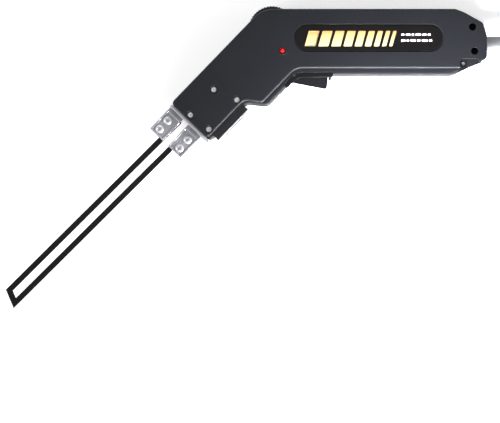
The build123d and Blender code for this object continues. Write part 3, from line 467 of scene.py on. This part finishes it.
def slanted_bar(left, right, low, high, lean, rise, corner):
    """A bar of printed foil: a flat box, leaned over, with rounded corners."""
    bpy.ops.object.select_all(action="DESELECT")
    size = ((right - left) / 1000, (high - low) / 1000, rise / 1000)
    place = ((left + right) / 2000, (low + high) / 2000, plate_top + rise / 2000)
    bpy.ops.mesh.primitive_cube_add(size=1.0)
    bar = bpy.context.object
    bar.data.transform(Matrix.Translation(place) @ Matrix.Diagonal((*size, 1.0)))
    for vertex in bar.data.vertices:
        vertex.co.x += lean / 1000 * (vertex.co.y - place[1]) / size[1]
    bpy.ops.object.mode_set(mode="EDIT")
    bpy.ops.mesh.select_all(action="DESELECT")
    bpy.ops.object.mode_set(mode="OBJECT")
    for edge in bar.data.edges:
        first, second = (bar.data.vertices[i].co for i in edge.vertices)
        edge.select = abs(first.z - second.z) > rise / 2000
    bpy.ops.object.mode_set(mode="EDIT")
    bpy.ops.mesh.select_mode(type="EDGE")
    bpy.ops.mesh.bevel(offset=corner / 1000, segments=4)
    bpy.ops.object.mode_set(mode="OBJECT")
    return bar


bar_low, bar_high = -3.0, 9.3
bar_lean = 3.4
bar_gap = 2.3
bar_left = 31.0
bar_widths = [8.6, 8.0, 7.4, 6.6, 5.8, 5.0, 4.2, 3.4, 2.6]
bars = []
for bar_width in bar_widths:
    bars.append(slanted_bar(bar_left, bar_left + bar_width, bar_low, bar_high, bar_lean, 0.12, 0.7))
    bar_left += bar_width + bar_gap
gold = bpy.data.materials.new("gold_foil")
gold.use_nodes = True
gold_tree = gold.node_tree
gold_shader = gold_tree.nodes["Principled BSDF"]
gold_place = gold_tree.nodes.new("ShaderNodeTexCoord").outputs["Object"]
gold_parts = gold_tree.nodes.new("ShaderNodeSeparateXYZ")
gold_tree.links.new(gold_place, gold_parts.inputs[0])
# The gold is painted darker towards the top of the bars: painted shade.
gold_range = gold_tree.nodes.new("ShaderNodeMapRange")
gold_range.inputs["From Min"].default_value = bar_low / 1000
gold_range.inputs["From Max"].default_value = bar_high / 1000
gold_tree.links.new(gold_parts.outputs["Y"], gold_range.inputs["Value"])
gold_speckle = math_node(gold_tree, "MULTIPLY", noise(gold_tree, gold_place, 900.0, 3.0), 0.25)
gold_shade_level = math_node(gold_tree, "SUBTRACT", gold_range.outputs["Result"], gold_speckle)
gold_shade_ramp = gold_tree.nodes.new("ShaderNodeValToRGB")
gold_shade_ramp.color_ramp.elements[0].color = srgb(200, 184, 134)
gold_shade_ramp.color_ramp.elements[1].color = srgb(160, 120, 68)
gold_tree.links.new(gold_shade_level, gold_shade_ramp.inputs["Fac"])
gold_tree.links.new(gold_shade_ramp.outputs["Color"], gold_shader.inputs["Base Color"])
gold_shader.inputs["Metallic"].default_value = 0.15
gold_shader.inputs["Roughness"].default_value = 0.42
join_pieces(bars, "plate_bars", gold)

dash_rows = [(5.6, [2.4, 3.6, 1.8, 4.4, 3.0, 2.2]), (0.9, [3.2, 1.8, 4.0, 2.6, 4.6, 2.4])]
dash_start = 106.5
dash_height = 1.5
dash_gap = 1.2
dashes = []
for row, dash_widths in dash_rows:
    dash_left = dash_start
    for dash_width in dash_widths:
        dash_right = dash_left + dash_width
        dashes.append(slanted_bar(dash_left, dash_right, row, row + dash_height, 0.0, 0.1, 0.4))
        dash_left = dash_right + dash_gap
white_ink = moulded("white_ink", srgb(240, 240, 240), 0.55, 2000.0, 0.00001, 0.1, 0.0001, 0.0)
join_pieces(dashes, "plate_dashes", white_ink)

# ---------------------------------------------------------------- pilot lamp
# A 5 mm LED of clear red resin that stands just under the face; a glow comes from its chip.
lamp_red = moulded("lamp_red", srgb(206, 10, 26), 0.18, 2600.0, 0.00001, 0.2, 0.0002, 0.0)
lamp_shader = lamp_red.node_tree.nodes["Principled BSDF"]
lamp_shader.inputs["Emission Color"].default_value = srgb(255, 20, 30)
lamp_shader.inputs["Emission Strength"].default_value = 0.12
lamp_shader.inputs["Coat Weight"].default_value = 0.6
dress("pilot_lamp", lamp_red)
# A black ring round the lamp is painted shade for the dark gap of its hole.
lamp_place = (11.5, -6.5)
lamp_shadow_ring = recess_shade_ring(*lamp_place, face_height - 0.1, 3.0, 1.0)
join_pieces([lamp_shadow_ring], "lamp_shadow_ring", recess_shade_black)

# ---------------------------------------------------------------- temperature dial
# A black knurled thumb wheel on the shaft of the potentiometer under the board.
dial_black = moulded("dial_black", srgb(14, 14, 17), 0.38, 2200.0, 0.00002, 0.25, 0.0002, 0.4)
dress("dial_wheel", dial_black)
dress("dial_shaft", metal("shaft_steel", srgb(190, 190, 192), 0.3, 0.0, (900, 900, 60)))
dress("potentiometer", metal("pot_can", srgb(186, 184, 178), 0.38, 0.0, (300, 300, 300), 0.4))

# ---------------------------------------------------------------- power control board
# Fibreglass board with green solder mask; black moulded parts stand on it.
dress("circuit_board", moulded("board_green", srgb(22, 84, 48), 0.35, 1400.0, 0.00001, 0.5, 0.0001, 0.2))
component_black = moulded("component_black", srgb(30, 30, 31), 0.45, 2400.0, 0.00002, 0.3, 0.0002, 0.3)
dress("board_components", component_black)

# ---------------------------------------------------------------- trigger and switch
# The trigger turns on a steel pin in a black bezel that is let into both shells. Behind it stand a
# snap switch with its red plunger, and the return spring.
bezel_black = moulded("bezel_black", srgb(8, 8, 10), 0.42, 2300.0, 0.00003, 0.2, 0.0004, 0.4)
dress("trigger_bezel", bezel_black)
# The trigger's edges are painted lighter: partly wear, partly a painted highlight.
trigger_plastic = moulded("trigger_plastic", srgb(13, 14, 17), 0.36, 2300.0, 0.00003, 0.25, 0.0005, 0.5)
for satin in (bezel_black, trigger_plastic):
    satin.node_tree.nodes["Principled BSDF"].inputs["Specular IOR Level"].default_value = 0.28
dress("trigger", trigger_plastic)
dress("trigger_pin", metal("pin_steel", srgb(190, 190, 192), 0.3, 0.0, (900, 900, 60)))

# The return spring is music wire; the trigger presses it shorter against the shells as it is pulled, but
# here it keeps one length.
bpy.ops.object.select_all(action="DESELECT")
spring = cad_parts["trigger_spring"].copy()
spring.data = spring.data.copy()
spring.name = "return_spring"
bpy.context.collection.objects.link(spring)
spring.select_set(True)
bpy.context.view_layer.objects.active = spring
bpy.ops.object.mode_set(mode="EDIT")
bpy.ops.mesh.select_all(action="SELECT")
bpy.ops.mesh.remove_doubles(threshold=0.000001)
bpy.ops.object.mode_set(mode="OBJECT")
bpy.ops.object.shade_smooth_by_angle(angle=math.radians(40))
spring.data.materials.clear()
spring.data.materials.append(metal("spring_wire", srgb(170, 172, 176), 0.28, 0.0, (400, 400, 400)))
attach(spring, "housing")
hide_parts("trigger_spring")
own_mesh(spring)
dress("switch_body", moulded("switch_case", srgb(38, 38, 40), 0.5, 2200.0, 0.00002, 0.3, 0.0002, 0.3))
dress("switch_plunger", moulded("plunger_red", srgb(170, 34, 30), 0.4, 2200.0, 0.00001, 0.2, 0.0002, 0.2))

# ---------------------------------------------------------------- transformer
# Laminated core, nylon bobbin, enamelled primary winding, and one heavy copper turn as secondary.
# The laminations and the turns of wire show as fine ridges in the height of their materials.
def ridged(name, color, roughness, metallic, way, pitch, depth):
    """A material with fine parallel ridges, such as a stack of sheets or a layer of wire."""
    material = bpy.data.materials.new(name)
    material.use_nodes = True
    tree = material.node_tree
    shader = tree.nodes["Principled BSDF"]
    shader.inputs["Metallic"].default_value = metallic
    place = tree.nodes.new("ShaderNodeTexCoord").outputs["Object"]
    wave = tree.nodes.new("ShaderNodeTexWave")
    wave.bands_direction = way
    wave.inputs["Scale"].default_value = 1000 / pitch / 20
    wave.inputs["Distortion"].default_value = 0.4
    tree.links.new(place, wave.inputs["Vector"])
    spots = noise(tree, place, 200.0, 4.0)
    shade = mix_colors(tree, 1.0, color, (0.45, 0.42, 0.40, 1), "MULTIPLY")
    mask = math_node(tree, "MULTIPLY", math_node(tree, "ADD", wave.outputs["Fac"], spots), 0.5)
    tree.links.new(mix_colors(tree, mask, shade, color), shader.inputs["Base Color"])
    drift = math_node(tree, "MULTIPLY", spots, 0.25)
    tree.links.new(math_node(tree, "ADD", drift, roughness - 0.12), shader.inputs["Roughness"])
    bump = tree.nodes.new("ShaderNodeBump")
    bump.inputs["Distance"].default_value = depth
    tree.links.new(wave.outputs["Fac"], bump.inputs["Height"])
    tree.links.new(bump.outputs["Normal"], shader.inputs["Normal"])
    return material


dress("transformer_core", ridged("core_sheets", srgb(112, 110, 112), 0.5, 0.8, "X", 0.5, 0.0001))
dress("primary_winding", ridged("enamelled_wire", srgb(168, 78, 34), 0.35, 0.7, "Z", 0.45, 0.0002))
dress("primary_bobbin", moulded("bobbin_nylon", srgb(196, 188, 164), 0.5, 2200.0, 0.00001, 0.3, 0.0002, 0.1))
bar_copper = metal("bar_copper", srgb(196, 120, 84), 0.32, -math.radians(46), stain=0.6, edge_highlight=0.2)
dress("secondary_bar", bar_copper)
dress("inner_leads", moulded("lead_pvc", srgb(70, 74, 84), 0.4, 2200.0, 0.00001, 0.3, 0.0002, 0.0))

# ---------------------------------------------------------------- nose plate and clamps
# A heat-proof plate closes the nose. Each clamp is a nickel-plated tray with a raised rim that two
# zinc-plated button head screws pull down on the blade's leg.
nose_turn = -math.radians(46)
across_nose = (800, 120, 800)
along_nose = (120, 1500, 600)
nose_alloy = metal("nose_alloy", srgb(186, 188, 192), 0.42, nose_turn, across_nose, 0.5, 0.0003, 0.6, 0.4)
dress("nose_plate", nose_alloy)
# The trays get a strong painted highlight along the edges of their rims.
clamp_nickel = metal("clamp_nickel", srgb(178, 179, 184), 0.28, nose_turn, along_nose, 0.5, 0.0005, 1.0, 0.5)
base_nickel = metal("base_nickel", srgb(198, 200, 205), 0.3, nose_turn, along_nose, 0.4, 0.0004, 0.6, 0.5)
dress("clamp_bases", base_nickel)
for number in (1, 2):
    dress(f"clamp_plate_{number}", clamp_nickel)
clamp_screw_steel = metal(
    "clamp_screw_steel", srgb(214, 214, 218), 0.22, 0.4, (300, 300, 300), 0.4, 0.0003, 0.8, 0.5
)
for number in (1, 2, 3, 4):
    dress(f"clamp_screw_{number}", clamp_screw_steel)

# ---------------------------------------------------------------- blade
# Hardened strip steel, 1.5 mm thick, blackened by oxide; the cut edges have worn a little brighter.
blade_black = moulded("blade_black", srgb(6, 6, 7), 0.50, 1200.0, 0.00002, 0.35, 0.0002, 0.3)
blade_black.node_tree.nodes["Principled BSDF"].inputs["Specular IOR Level"].default_value = 0.25
dress("blade", blade_black)

# ---------------------------------------------------------------- accessory shoe
# A black moulded block in the underside of the nose, faced with a stamped steel plate.
dress("shoe_block", moulded("shoe_black", srgb(12, 12, 14), 0.5, 2300.0, 0.00003, 0.2, 0.0003, 0.3))
shoe_steel = metal("shoe_steel", srgb(178, 180, 184), 0.34, nose_turn, (90, 1500, 600), 0.4, 0.0003, 0.7)
dress("shoe_plate", shoe_steel)
dress("shoe_screws", screw_steel)
